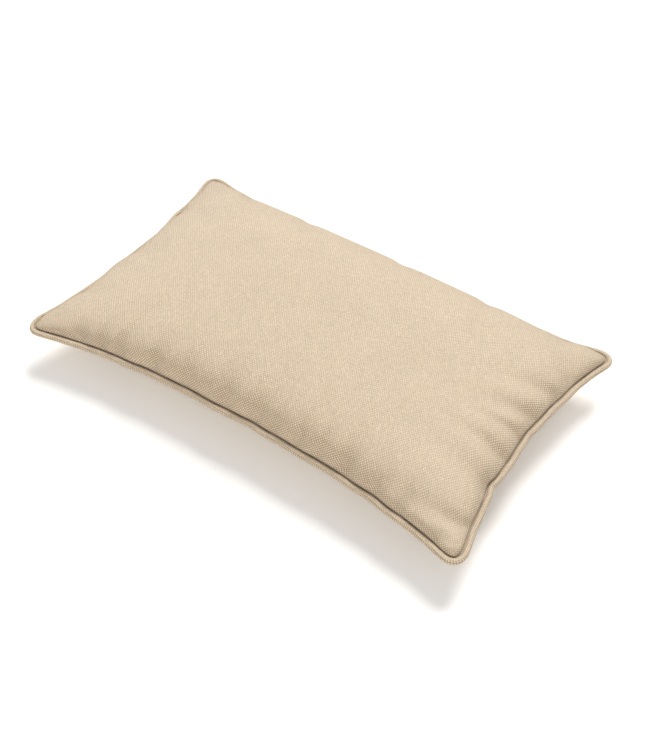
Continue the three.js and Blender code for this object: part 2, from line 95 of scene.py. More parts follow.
# Puckers where the cloth is gathered into the seam: (edge, place along it, depth, half width along
# it, reach into the panel, slant of the fold).
PUCKERS = [
    ("right", -0.76, 0.0048, 0.055, 0.065, -0.14),
    ("right", -0.46, 0.0048, 0.065, 0.058, 0.0),
    ("right", -0.22, 0.0052, 0.045, 0.062, -0.10),
    ("right", -0.01, 0.0040, 0.036, 0.050, -0.26),
    ("right", 0.18, 0.0044, 0.058, 0.054, 0.45),
    ("right", 0.41, 0.0040, 0.060, 0.050, 0.40),
    ("right", 0.53, 0.0038, 0.080, 0.045, -0.60),
    ("front", 0.90, 0.0038, 0.028, 0.020, 0.0),
    ("front", 0.72, 0.0026, 0.026, 0.030, -0.10),
    ("front", 0.60, 0.0030, 0.028, 0.030, -0.12),
    ("front", 0.46, 0.0056, 0.034, 0.046, -0.10),
    ("front", 0.35, 0.0028, 0.022, 0.048, -0.10),
    ("front", 0.26, 0.0036, 0.020, 0.034, -0.10),
    ("front", 0.15, 0.0040, 0.018, 0.020, 0.0),
    ("front", 0.07, 0.0036, 0.045, 0.050, -0.10),
    ("front", -0.07, 0.0040, 0.028, 0.034, -0.10),
    ("front", -0.25, 0.0030, 0.030, 0.044, 0.05),
    ("front", -0.40, 0.0036, 0.028, 0.040, 0.10),
    ("front", -0.57, 0.0034, 0.026, 0.062, 0.10),
    ("front", -0.66, 0.0036, 0.026, 0.036, 0.10),
    ("front", -0.76, 0.0050, 0.045, 0.026, 0.0),
    ("left", -0.55, 0.0026, 0.080, 0.040, 0.0),
    ("left", -0.08, 0.0022, 0.080, 0.045, 0.0),
    ("left", 0.45, 0.0026, 0.080, 0.040, 0.0),
    ("rear", -0.72, 0.0024, 0.030, 0.034, 0.0),
    ("rear", -0.38, 0.0018, 0.032, 0.034, 0.0),
    ("rear", 0.08, 0.0018, 0.034, 0.034, 0.0),
    ("rear", 0.47, 0.0020, 0.032, 0.034, 0.0),
    ("rear", 0.80, 0.0024, 0.030, 0.034, 0.0),
]
PUCKER_ONSET = 0.005
PUCKER_WIDENING = 0.6
PRESSED_SHARE = 0.25

# The cloth's grid, and the flat size it was cut to, seam to seam.
CLOTH_STEP = 0.004
CLOTH_HALF_LENGTH = 0.2445
CLOTH_HALF_WIDTH = 0.1445
CLOTH_SLACK = 1.01
CLOTH_THICKNESS = 0.0008

# It is cut longer along the seams, where it gathers, and shorter towards the corners.
CLOTH_GATHER = 0.08
CLOTH_GATHER_EDGE_POWER = 8
CLOTH_GATHER_END_POWER = 6
CLOTH_TAPER = 0.05
CLOTH_TAPER_POWER = 3

# Its grid is spread evenly along the form's mid sections, which are measured from points that
# crowd towards the seam.
CLOTH_EVEN_POWER = 8
SECTION_POINTS = 1500
SECTION_CROWDING = 2.5

# Its simulation, and the blur of the result that leaves only its creases.
CLOTH_SETTINGS = {
    "quality": 6,
    "mass": 0.25,
    "air_damping": 2,
    "tension_stiffness": 40,
    "compression_stiffness": 40,
    "shear_stiffness": 12,
    "bending_stiffness": 8,
    "tension_damping": 10,
    "compression_damping": 10,
    "shear_damping": 10,
    "use_pressure": True,
    "uniform_pressure_force": 5.0,
}
CLOTH_FRAMES = 22
WRINKLE_CAP = 0.006
SMOOTH_ROUNDS = 90
SMOOTH_SHARE = 0.8

# How softly the underside meets the floor.
FLOOR_SOFTNESS = 0.0015

# The seam allowance, and its rings: (in from the seam, share of the way down to its level).
SEAM_ALLOWANCE = 0.006
ALLOWANCE_RINGS = ((0.0012, 0.105), (0.0030, 0.225), (SEAM_ALLOWANCE, 0.255))

# Piping, with its cord of three twisted strands inside. Swells are (rate, size, phase).
PIPING_RADIUS = 0.0029
PIPING_CENTRE_OFFSET = 0.0031
PIPING_SIDES = 18
PIPING_STEP = 0.002
PIPING_WRAP_ANGLE = 2.75
PIPING_PLY_HALF_GAP = 0.0003
PIPING_SWELLS = ((190, 0.018, 0.0), (431, 0.012, 1.0))
SEAM_SAMPLES = 900
CORD_RADIUS = 0.0019
CORD_SIDES = 18
CORD_TWIST = 420
CORD_CORE_SHARE = 0.80
CORD_STRAND_SHARE = 0.18

# Insert and fill: how far in from the seam, and how far under the cover.
TICKING_INSET = 0.0135
TICKING_DROP = 0.0026
FILL_INSET = 0.0150
FILL_DROP = 0.0040
TICKING_THICKNESS = 0.0005
LAYER_EDGE = 0.0002
FILL_LUMPS = 0.0006
LUMP_WAVES = ((131, 57, 1), (-74, 143, 2))
LUMP_FADE_POWER = 8

# The zip opening, its hem and its topstitching.
OPENING_HALF_LENGTH = 0.160
OPENING_OVERRUN = 0.004
OPENING_TAPER = 0.006
OPENING_REACH = 0.6
HEM_DEPTH = 0.0132
HEM_FOLD = 0.007
STITCH_PITCH = 0.0034
STITCH_LENGTH = 0.0026
STITCH_RADIUS = 0.00036
STITCH_PROUD = 0.0003
STITCH_END_MARGIN = 0.002
STITCH_SIDES = 8
STITCH_RINGS = ((-0.86, 0.6), (-0.5, 1.0), (0.5, 1.0), (0.86, 0.6))

# The hem's rings: (down from the fold along the cloth, in behind the wall).
HEM_RINGS = ((-0.0004, 0.0009), (0.003, 0.0015), (HEM_FOLD, 0.0015))

# Zip, measured from the rear seam and from its tape's plane.
TAPE_RECESS = 0.0048
TAPE_THICKNESS = 0.0005
TAPE_HALF_LENGTH = 0.165
TAPE_STEP = 0.003
TAPE_WAVERS = ((160, 0.00012, 0.0), (391, 0.00008, 1.0))
ZIP_CENTRE_DEPTH = 0.008
COIL_HALF_LENGTH = 0.1493
COIL_PITCH = 0.00135
COIL_WIRE = 0.00030
COIL_NEAR = 0.0003
COIL_FAR = 0.0028
COIL_LOW = 0.0006
COIL_HIGH = 0.0018
COIL_STEPS_PER_TURN = 12
COIL_WIRE_SIDES = 6

# The tapes in section: (in from the tape's plane, down from the seam).
UPPER_TAPE_PROFILE = ((0.0012, 0.0013), (0.0002, 0.0013), (0, 0.0018), (0, 0.0045), (0, 0.0076))
LOWER_TAPE_PROFILE = ((0, 0.0084), (0, 0.0127), (0.0011, 0.0135), (0.0023, 0.0150), (0.0060, 0.0190))

# Edge bevels of the metal pieces.
STOP_BEVEL = 0.0003
SLIDER_BEVEL = 0.0002
LINK_BEVEL = 0.00005
TAB_BEVEL = 0.00025
BEVEL_ANGLE = 35.0

# Weaves: spacing of warp and weft, how much painted shade fills the gaps between the yarns on level
# cloth, relief, unevenness of the yarns' colour, and the weft's height as a share of the warp's. On
# slopes the painted gap shade deepens by the gain below.
COVER_WEAVE = ((0.00136, 0.00158), 0.48, 0.0010, 0.12, 0.35)
TICKING_WEAVE = ((0.0006, 0.0006), 0.4, 0.0001, 0.05, 0.9)
TAPE_WEAVE = ((0.0005, 0.0007), 0.6, 0.0001, 0.08, 0.8)
# Painted shade: how much deeper the shade painted into the gaps grows on slopes.
SLOPE_GAP_SHADE_GAIN = 2.1
SLOPE_RANGE = (0.02, 0.35)

# Colours, linear.
COVER_COLOUR = (0.778, 0.654, 0.502)
# Painted shade: the darker colour mixed into the gaps between the cover's yarns.
COVER_GAP_SHADE_COLOUR = (0.272, 0.18, 0.097)
PIPING_COLOUR = (0.737, 0.62, 0.468)
CORD_COLOUR = (0.86, 0.83, 0.76)
TICKING_COLOUR = (0.88, 0.87, 0.83)
# Painted shade for the gaps between the ticking's yarns.
TICKING_GAP_SHADE_COLOUR = (0.48, 0.46, 0.42)
FILL_COLOUR = (0.93, 0.93, 0.91)
TAPE_COLOUR = (0.62, 0.51, 0.37)
# Painted shade for the gaps between the tape's yarns.
TAPE_GAP_SHADE_COLOUR = (0.28, 0.21, 0.13)
COIL_COLOUR = (0.60, 0.50, 0.37)
THREAD_COLOUR = (0.72, 0.60, 0.45)
METAL_COLOUR = (0.62, 0.61, 0.58)
FLOOR_COLOUR = (0.97, 0.97, 0.97)
FLOOR_REACH = 40.0
FLOOR_POINTS = 9

# Light: (azimuth, elevation, spread in degrees, strength, colour), and the even light from all
# round, which is brighter up to HORIZON_HEIGHT above the horizon.
KEY_LIGHT = (196, 46, 30, 3.1, (1.0, 0.985, 0.97))
FILL_LIGHT = (25, 32, 50, 1.7, (1.0, 0.95, 0.88))
SKY_LEVEL = 0.46
HORIZON_LEVEL = 1.0
HORIZON_HEIGHT = 0.25

# Camera: its direction from the cushion in degrees, its distance, target and lens.
CAMERA_AZIMUTH = 35.0
CAMERA_ELEVATION = 46.24
CAMERA_DISTANCE = 1.188
CAMERA_TARGET = (0.0258, -0.0271, 0.033)
CAMERA_LENS = 59.87
SENSOR_SIZE = 36.0
CAMERA_REACH = 100.0


def lerp(a, b, t):
    return a + (b - a) * t


def smoothstep(t):
    t = np.clip(t, 0, 1)
    return t * t * (3 - 2 * t)


def unit(vectors):
    return vectors / np.linalg.norm(vectors, axis=-1, keepdims=True)


def distances(path):
    """How far along a path each of its points is."""
    steps = np.linalg.norm(np.diff(path, axis=0), axis=1)
    return np.concatenate([[0], np.cumsum(steps)])


def closed_path(points):
    return np.concatenate([points, points[:1]])


def wavering(along, waves):
    """A sum of small waves, each of them (rate, size, phase)."""
    return sum(size * np.sin(along * rate + phase) for rate, size, phase in waves)


def round_angles(sides):
    return np.linspace(0, 2 * math.pi, sides, endpoint=False)


# -------- the cushion's form

def rear_share(v):
    """0 in the front half, 1 in the rear half, with a soft change at the middle."""
    return smoothstep((v + REAR_BLEND) / (2 * REAR_BLEND))


def edge_travel(u, v):
    """How far along the long edges, 0 to 1, where the rear edge stays straight along the zip."""
    beyond_zip = np.maximum(0, (np.abs(u) - STRAIGHT_SHARE) / (1 - STRAIGHT_SHARE))
    return lerp(np.abs(u), beyond_zip, rear_share(v))


def plan_position(u, v):
    """Plan position for u along X and v along Y, each -1 to 1 between opposite seams."""
    travel = edge_travel(u, v)
    rear = rear_share(v)
    power = lerp(FRONT_PULL_POWER, REAR_PULL_POWER, rear)
    long_pull = lerp(FRONT_PULL_IN, REAR_PULL_IN, rear) * (1 - travel ** power)
    side_pull = SIDE_PULL_IN * (1 - np.abs(v) ** SIDE_PULL_POWER)
    half_width = lerp(FRONT_HALF_WIDTH, REAR_HALF_WIDTH, rear)
    return u * (HALF_LENGTH - side_pull), v * (half_width - long_pull)


def seam_height(u, v):
    return CORNER_SEAM_HEIGHT + SEAM_RISE * (1 - (edge_travel(u, v) * np.abs(v)) ** 2)


def crown_share(along, across):
    """The crown's height at a place, from 0 at the seam to about 1 in the middle."""
    inside = np.clip((1 - along ** CROWN_POWER) * (1 - across ** CROWN_POWER), 0, 1)
    return inside ** CROWN_STEEPNESS * (1 - SHOULDER_DROP * np.exp(-inside / SHOULDER_REACH))


def rounded(u, v):
    """Moves a place on the unit square to its place on the square with rounded corners."""
    scale = np.maximum(np.maximum(np.abs(u), np.abs(v)), 1e-9)
    edge_u, edge_v = np.abs(u) / scale, np.abs(v) / scale
    radius_u = CORNER_RADIUS / HALF_LENGTH
    radius_v = CORNER_RADIUS / FRONT_HALF_WIDTH
    near_u = np.clip(1 - (1 - edge_u) / radius_u, 0, 1)
    near_v = np.clip(1 - (1 - edge_v) / radius_v, 0, 1)
    angle = math.pi / 4 * np.where(edge_u >= edge_v, near_v, 2 - near_u)
    in_corner = (near_u > 0) & (near_v > 0)
    round_u = np.where(in_corner, 1 - radius_u * (1 - np.cos(angle)), edge_u)
    round_v = np.where(in_corner, 1 - radius_v * (1 - np.sin(angle)), edge_v)
    fade = scale ** CORNER_FADE
    new_u = scale * lerp(edge_u, round_u, fade)
    new_v = scale * lerp(edge_v, round_v, fade)
    return np.sign(u) * new_u, np.sign(v) * new_v


def along_edge(edge, u, v):
    """Where a point lies along an edge, its distance in from it in metres, and the edge's reach."""
    if edge in ("front", "rear"):
        side = -1 if edge == "front" else 1
        return u, (1 - side * v) * FRONT_HALF_WIDTH, HALF_LENGTH
    side = -1 if edge == "left" else 1
    return v, (1 - side * u) * HALF_LENGTH, FRONT_HALF_WIDTH


def seam_shift(u, v):
    """The seam's wanderings at a point on the unit square's border: how far inward."""
    inward = np.zeros_like(u)
    for edge in ("front", "rear", "left", "right"):
        along, distance, reach = along_edge(edge, u, v)
        on_edge = (distance < ON_SEAM) * smoothstep((1 - np.abs(along)) / SHIFT_CORNER_SHARE)
        if edge == "rear":
            past_zip = np.abs(along) - STRAIGHT_SHARE - SHIFT_ZIP_CLEARANCE
            on_edge = on_edge * smoothstep(past_zip / SHIFT_ZIP_FADE)
        for length, size, phase in SEAM_WAVES:
            inward = inward + on_edge * size * np.sin(2 * math.pi * along * reach / length + phase)
        for pinched, place, depth, width in SEAM_PINCHES:
            if pinched == edge:
                inward = inward + on_edge * depth * np.exp(-(((along - place) / width) ** 2))
    return inward


def outline_point(u, v):
    """Plan position and seam height, with the seam's wanderings fading away from it."""
    scale = np.maximum(np.maximum(np.abs(u), np.abs(v)), 1e-9)
    x, y = plan_position(*rounded(u, v))
    inward = seam_shift(u / scale, v / scale) * scale ** SHIFT_FADE
    sideways = np.abs(u) > np.abs(v)
    x = x - np.where(sideways, np.sign(u) * inward, 0)
    y = y - np.where(sideways, 0, np.sign(v) * inward)
    return x, y, seam_height(*rounded(u, v)) - SHIFT_DIP * inward


def top_surface(u, v, inset=0.0, drop=0.0, edge=TOP_SEAM_EDGE):
    x, y, z = outline_point(u, v)
    z = z + edge + (TOP_CROWN - edge - drop) * crown_share(np.abs(u), np.abs(v))
    return np.stack([x * (1 - inset / HALF_LENGTH), y * (1 - inset / FRONT_HALF_WIDTH), z], -1)


def rested(points, floor):
    """Presses points flat on the floor, with a soft edge to the flat."""
    above = points[..., 2] - floor
    eased = (above + FLOOR_SOFTNESS) ** 2 / (4 * FLOOR_SOFTNESS)
    near = np.abs(above) < FLOOR_SOFTNESS
    height = np.where(near, eased, np.maximum(above, 0))
    return np.concatenate([points[..., :2], (floor + height)[..., None]], -1)


def bottom_surface(u, v, inset=0.0, drop=0.0, edge=SEAM_EDGE):
    x, y, z = outline_point(u, v)
    z = z - edge - (BOTTOM_CROWN - edge - drop) * crown_share(edge_travel(u, v), np.abs(v))
    points = np.stack([x * (1 - inset / HALF_LENGTH), y * (1 - inset / FRONT_HALF_WIDTH), z], -1)
    return rested(points, drop)


# -------- cloth

def even_shares(surface, along_x):
    """A table from even shares of cloth to places on the unit square, along a mid section."""
    places = 1 - (1 - np.linspace(0, 1, SECTION_POINTS)) ** SECTION_CROWDING
    zeros = np.zeros_like(places)
    line = surface(places, zeros) if along_x else surface(zeros, -places)
    shares = distances(line)
    return shares / shares[-1], places


def cloth_shares():
    """The cloth grid's places, as shares of the cut cloth's half sizes."""
    columns = 2 * round(CLOTH_HALF_LENGTH / CLOTH_STEP) + 1
    rows = 2 * round(CLOTH_HALF_WIDTH / CLOTH_STEP) + 1
    return np.meshgrid(np.linspace(-1, 1, columns), np.linspace(-1, 1, rows))


def unit_places(surface, a, b):
    """Places on the unit square for shares of cloth, so that the cloth is spread evenly."""
    even_u = np.interp(np.abs(a), *even_shares(surface, True))
    even_v = np.interp(np.abs(b), *even_shares(surface, False))
    u = np.sign(a) * lerp(even_u, np.abs(a), np.abs(b) ** CLOTH_EVEN_POWER)
    v = np.sign(b) * lerp(even_v, np.abs(b), np.abs(a) ** CLOTH_EVEN_POWER)
    return u, v


def grid_normals(points):
    """Unit normals of a grid of points, up where the rows run along +X and are stacked along +Y."""
    across = np.gradient(points, axis=1)
    along = np.gradient(points, axis=0)
    normals = np.cross(across, along)
    return normals / np.maximum(np.linalg.norm(normals, axis=-1, keepdims=True), 1e-12)


def pucker_depth(a, b):
    """How far the gathered cloth is pressed in at each place, 0 at the seam itself."""
    depth = np.zeros_like(a)
    for edge, place, size, width, reach, slant in PUCKERS:
        along, distance, length = along_edge(edge, a, b)
        centre = place - slant * distance / length * np.sign(place)
        spread = width * (1 + PUCKER_WIDENING * distance / reach)
        ridge = (along - centre) / spread
        profile = (1 - 0.5 * ridge ** 2) * np.exp(-(ridge ** 2))
        onset = 1 - np.exp(-distance / PUCKER_ONSET)
        depth = depth + size * profile * onset * np.exp(-((distance / reach) ** 1.5))
    return depth


def smoothed(field, rounds):
    """Blurs a grid of vectors, with its border held still."""
    for _ in range(rounds):
        inner = (field[:-2, 1:-1] + field[2:, 1:-1] + field[1:-1, :-2] + field[1:-1, 2:]) / 4
        field = field.copy()
        field[1:-1, 1:-1] = lerp(field[1:-1, 1:-1], inner, SMOOTH_SHARE)
    return field


def grid_faces(rows, columns):
    index = np.arange(rows * columns).reshape(rows, columns)
    corners = [index[:-1, :-1], index[:-1, 1:], index[1:, 1:], index[1:, :-1]]
    return np.stack(corners, -1).reshape(-1, 4)


def new_mesh(name, points, faces):
    mesh = bpy.data.meshes.new(name)
    mesh.from_pydata(np.asarray(points, float).reshape(-1, 3).tolist(), [], [list(f) for f in faces])
    mesh.update()
    obj = bpy.data.objects.new(name, mesh)
    bpy.context.scene.collection.objects.link(obj)
    return obj


def inflated(start, cut, upward):
    """Blows a panel up from its start as cloth, held at its border, cut to a given flat size."""
    rows, columns = start.shape[:2]
    faces = grid_faces(rows, columns)
    obj = new_mesh("cloth", start, faces if upward else faces[:, ::-1])
    obj.shape_key_add(name="Basis")
    rest = obj.shape_key_add(name="cut")
    rest.data.foreach_set("co", cut.reshape(-1).astype(np.float32))
    rest.value = 0
    border = np.ones((rows, columns), bool)
    border[1:-1, 1:-1] = False
    held = obj.vertex_groups.new(name="seam")
    held.add(np.flatnonzero(border).tolist(), 1.0, "REPLACE")
    cloth = obj.modifiers.new("cloth", "CLOTH")
    cloth.settings.vertex_group_mass = "seam"
    cloth.settings.rest_shape_key = rest
    for name, value in CLOTH_SETTINGS.items():
        setattr(cloth.settings, name, value)
    cloth.settings.effector_weights.gravity = 0
    cloth.collision_settings.use_collision = False
    cloth.point_cache.frame_end = CLOTH_FRAMES
    for step in range(1, CLOTH_FRAMES + 1):
        bpy.context.scene.frame_set(step)
    shape = obj.evaluated_get(bpy.context.evaluated_depsgraph_get()).data
    result = np.empty(rows * columns * 3, np.float32)
    shape.vertices.foreach_get("co", result)
    bpy.context.scene.frame_set(1)
    bpy.data.objects.remove(obj)
    return result.reshape(rows, columns, 3).astype(float)


def gather(along, across):
    """How much longer the cloth is cut near a seam, so that it gathers there."""
    near_edge = np.abs(across) ** CLOTH_GATHER_EDGE_POWER
    return CLOTH_GATHER * near_edge * (1 - np.abs(along) ** CLOTH_GATHER_END_POWER)


def settled_panel(surface, upward, places):
    """A sewn panel's grid of points: its inflated form, its puckers and the creases of its cloth."""
    a, b = places
    u, v = unit_places(surface, a, b)
    smooth = surface(u, v)
    side = 1 if upward else -1
    inside = np.zeros(a.shape + (1,))
    inside[1:-1, 1:-1] = 1
    pressed = -side * grid_normals(smooth) * pucker_depth(a, b)[..., None] * inside
    pressed_form = smooth + pressed * PRESSED_SHARE
    corner = CLOTH_TAPER * np.abs(a * b) ** CLOTH_TAPER_POWER
    long = 1 + gather(a, b) - corner
    wide = 1 + gather(b, a) - corner
    cut = np.stack([
        a * CLOTH_HALF_LENGTH * CLOTH_SLACK * long,
        b * CLOTH_HALF_WIDTH * CLOTH_SLACK * wide,
        np.zeros_like(a),
    ], -1)
    shift = inflated(smooth + pressed, cut, upward) - smooth
    creases = shift - smoothed(shift, SMOOTH_ROUNDS)
    size = np.linalg.norm(creases, axis=-1, keepdims=True)
    capped = creases * np.minimum(1, WRINKLE_CAP / np.maximum(size, 1e-9))
    return pressed_form + capped, smooth


# -------- pieces

def finish_piece(obj, body, material, replaced=()):
    obj.data.materials.append(material)
    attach(obj, body)
    if replaced:
        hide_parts(*replaced)
    return obj


def smooth_shaded(obj):
    obj.data.polygons.foreach_set("use_smooth", [True] * len(obj.data.polygons))
    return obj


def give_uv(obj, uv):
    """Lays the mesh flat at its real size, in metres, for the weave. uv has a row per vertex."""
    layer = obj.data.uv_layers.new(name="Cloth")
    corners = np.empty(len(obj.data.loops), np.int32)
    obj.data.loops.foreach_get("vertex_index", corners)
    layer.data.foreach_set("uv", np.asarray(uv, float)[corners].reshape(-1).astype(np.float32))


def border_loop(rows, columns):
    """Indices of a grid's border, counter-clockwise from its first point."""
    index = np.arange(rows * columns).reshape(rows, columns)
    return np.concatenate([index[0, :-1], index[:-1, -1], index[-1, :0:-1], index[:0:-1, 0]])


def outward_in_plan(loop_points):
    """Outward unit normals, in plan, of a closed counter-clockwise loop of points."""
    ahead = np.roll(loop_points, -1, 0) - np.roll(loop_points, 1, 0)
    return unit(np.stack([ahead[:, 1], -ahead[:, 0], np.zeros(len(ahead))], -1))


def panel_piece(name, points, uv, strips, upward):
    """A panel with extra rings sewn round its border. strips holds each ring's points."""
    rows, columns = points.shape[:2]
    loop = border_loop(rows, columns)
    count = len(loop)
    faces = grid_faces(rows, columns).tolist()
    all_points = [points.reshape(-1, 3)]
    all_uv = [uv.reshape(-1, 2)]
    inner = loop
    border_uv = all_uv[0][loop]
    out_of_cloth = outward_in_plan(np.concatenate([border_uv, np.zeros((count, 1))], 1))
    travelled = np.zeros((count, 1))
    previous = all_points[0][loop]
    for ring in strips:
        travelled = travelled + np.linalg.norm(ring - previous, axis=1, keepdims=True)
        outer = np.arange(count) + sum(len(p) for p in all_points)
        following = np.roll(np.arange(count), -1)
        quads = np.stack([inner, outer, outer[following], inner[following]], -1)
        faces += quads.tolist()
        all_points.append(ring)
        all_uv.append(border_uv + out_of_cloth[:, :2] * travelled)
        inner, previous = outer, ring
    if not upward:
        faces = [face[::-1] for face in faces]
    obj = new_mesh(name, np.concatenate(all_points), faces)
    give_uv(obj, np.concatenate(all_uv))
    return smooth_shaded(obj)


def add_body(obj, levels, thickness):
    """Rounds a sheet's facets and gives it its thickness, inwards."""
    if levels:
        rounding = obj.modifiers.new("rounding", "SUBSURF")
        rounding.levels = levels
        rounding.render_levels = levels
    solid = obj.modifiers.new("thickness", "SOLIDIFY")
    solid.thickness = thickness
    solid.offset = -1
    solid.use_rim = True


def cloth_piece(obj, levels, thickness, material, node):
    """Makes a panel a padded piece of the cushion."""
    add_body(obj, levels, thickness)
    finish_piece(obj, "cushion", material, [node])


def swept(name, path, across, up, section, closed):
    """A closed section swept along a path. section(s) gives (across, up) points at distance s."""
    travelled = distances(closed_path(path))
    outlines = [section(distance) for distance in travelled[:-1]]
    rings = np.array([
        point + outline[:, :1] * sideways + outline[:, 1:] * upwards
        for point, outline, sideways, upwards in zip(path, outlines, across, up)
    ])
    count, sides = rings.shape[:2]
    around = distances(closed_path(outlines[0]))
    faces, corner_uv = [], []
    for i in range(count if closed else count - 1):
        ring = i * sides
        next_ring = (i + 1) % count * sides
        for j in range(sides):
            beside = (j + 1) % sides
            faces.append([ring + j, ring + beside, next_ring + beside, next_ring + j])
            corners = ((i, j), (i, j + 1), (i + 1, j + 1), (i + 1, j))
            corner_uv += [(travelled[k], around[m]) for k, m in corners]
    if not closed:
        first, last = list(range(sides)), [(count - 1) * sides + j for j in range(sides)]
        faces += [first[::-1], last]
        corner_uv += [(0.0, 0.0)] * (2 * sides)
    obj = new_mesh(name, rings, faces)
    flat = np.array(corner_uv)
    bias = np.stack([flat[:, 0] + flat[:, 1], flat[:, 0] - flat[:, 1]], -1) * math.sqrt(0.5)
    obj.data.uv_layers.new(name="Cloth").data.foreach_set("uv", bias.reshape(-1).astype(np.float32))
    if signed_volume(obj) < 0:
        obj.data.flip_normals()
    return smooth_shaded(obj)


def signed_volume(obj):
    """Volume of a closed mesh: negative where its faces point inwards."""
    obj.data.calc_loop_triangles()
    triangles = np.empty(len(obj.data.loop_triangles) * 3, np.int32)
    obj.data.loop_triangles.foreach_get("vertices", triangles)
    points = np.empty(len(obj.data.vertices) * 3)
    obj.data.vertices.foreach_get("co", points)
    a, b, c = points.reshape(-1, 3)[triangles].reshape(-1, 3, 3).transpose(1, 0, 2)
    return float(np.sum(a * np.cross(b, c)) / 6)


def bevelled_copy(name, node, width):
    """A CAD node's own shape with its edges softened."""
    obj = bpy.data.objects.new(name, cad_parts[node].data.copy())
    bpy.context.scene.collection.objects.link(obj)
    obj.data.materials.clear()
    bevel = obj.modifiers.new("edges", "BEVEL")
    bevel.width = width
    bevel.segments = 2
    bevel.limit_method = "ANGLE"
    bevel.angle_limit = math.radians(BEVEL_ANGLE)
    return obj


# -------- materials

class Shader:
    """A material's node tree, with short calls for the nodes that the fabrics share."""

    def __init__(self, name):
        self.material = bpy.data.materials.new(name)
        self.material.use_nodes = True
        self.tree = self.material.node_tree
        self.surface = self.tree.nodes["Principled BSDF"]

    def node(self, kind, **settings):
        made = self.tree.nodes.new("ShaderNode" + kind)
        for key, value in settings.items():
            setattr(made, key, value)
        return made

    def put(self, socket, value):
        if isinstance(value, bpy.types.NodeSocket):
            self.tree.links.new(value, socket)
        else:
            socket.default_value = value

    def math(self, operation, first, second=0.0):
        made = self.node("Math", operation=operation)
        self.put(made.inputs[0], first)
        self.put(made.inputs[1], second)
        return made.outputs[0]

    def add(self, first, second):
        return self.math("ADD", first, second)

    def times(self, first, second):
        return self.math("MULTIPLY", first, second)

    def span(self, value, low, high, out_low, out_high):
        made = self.node("MapRange")
        for socket, setting in zip(made.inputs, (value, low, high, out_low, out_high)):
            self.put(socket, setting)
        return made.outputs[0]

    def vector(self, x, y, z=0.0):
        made = self.node("CombineXYZ")
        for socket, value in zip(made.inputs, (x, y, z)):
            self.put(socket, value)
        return made.outputs[0]

    def noise(self, place, scale, detail=2.0, roughness=0.5):
        made = self.node("TexNoise")
        self.put(made.inputs["Vector"], place)
        self.put(made.inputs["Scale"], scale)
        self.put(made.inputs["Detail"], detail)
        self.put(made.inputs["Roughness"], roughness)
        return made.outputs["Fac"]

    def random(self, x, y):
        made = self.node("TexWhiteNoise", noise_dimensions="2D")
        self.put(made.inputs["Vector"], self.vector(x, y))
        return made.outputs["Value"]

    def cloth_axes(self):
        """The two directions across the flat cloth, in metres."""
        place = self.node("UVMap", uv_map="Cloth")
        parts = self.node("SeparateXYZ")
        self.put(parts.inputs[0], place.outputs[0])
        return parts.outputs[0], parts.outputs[1]

    def object_place(self):
        return self.node("TexCoord").outputs["Object"]

    def tinted(self, colour, brightness):
        """A colour times a brightness that varies over the surface."""
        made = self.node("VectorMath", operation="SCALE")
        made.inputs[0].default_value = colour
        self.put(made.inputs["Scale"], brightness)
        return made.outputs[0]

    def shaded(self, colour, painted_shade_colour, brightness, depth):
        """The same, with the colour turning to a painted shade colour as depth goes from 0 to 1."""
        made = self.node("Mix", data_type="VECTOR")
        self.put(made.inputs["Factor"], depth)
        made.inputs[4].default_value = colour
        made.inputs[5].default_value = painted_shade_colour
        scaled = self.node("VectorMath", operation="SCALE")
        self.put(scaled.inputs[0], made.outputs[1])
        self.put(scaled.inputs["Scale"], brightness)
        return scaled.outputs[0]

    def slope(self):
        """0 where the surface lies level, 1 where it stands upright."""
        parts = self.node("SeparateXYZ")
        self.put(parts.inputs[0], self.node("NewGeometry").outputs["True Normal"])
        return self.math("SUBTRACT", 1.0, self.math("ABSOLUTE", parts.outputs[2]))

    def bump(self, height, distance, strength=1.0):
        made = self.node("Bump")
        made.inputs["Strength"].default_value = strength
        made.inputs["Distance"].default_value = distance
        self.put(made.inputs["Height"], height)
        self.put(self.surface.inputs["Normal"], made.outputs[0])

    def set(self, **values):
        """Sets the surface's own sockets: an underscore stands for a space in a name."""
        for key, value in values.items():
            self.put(self.surface.inputs[key.replace("_", " ")], value)


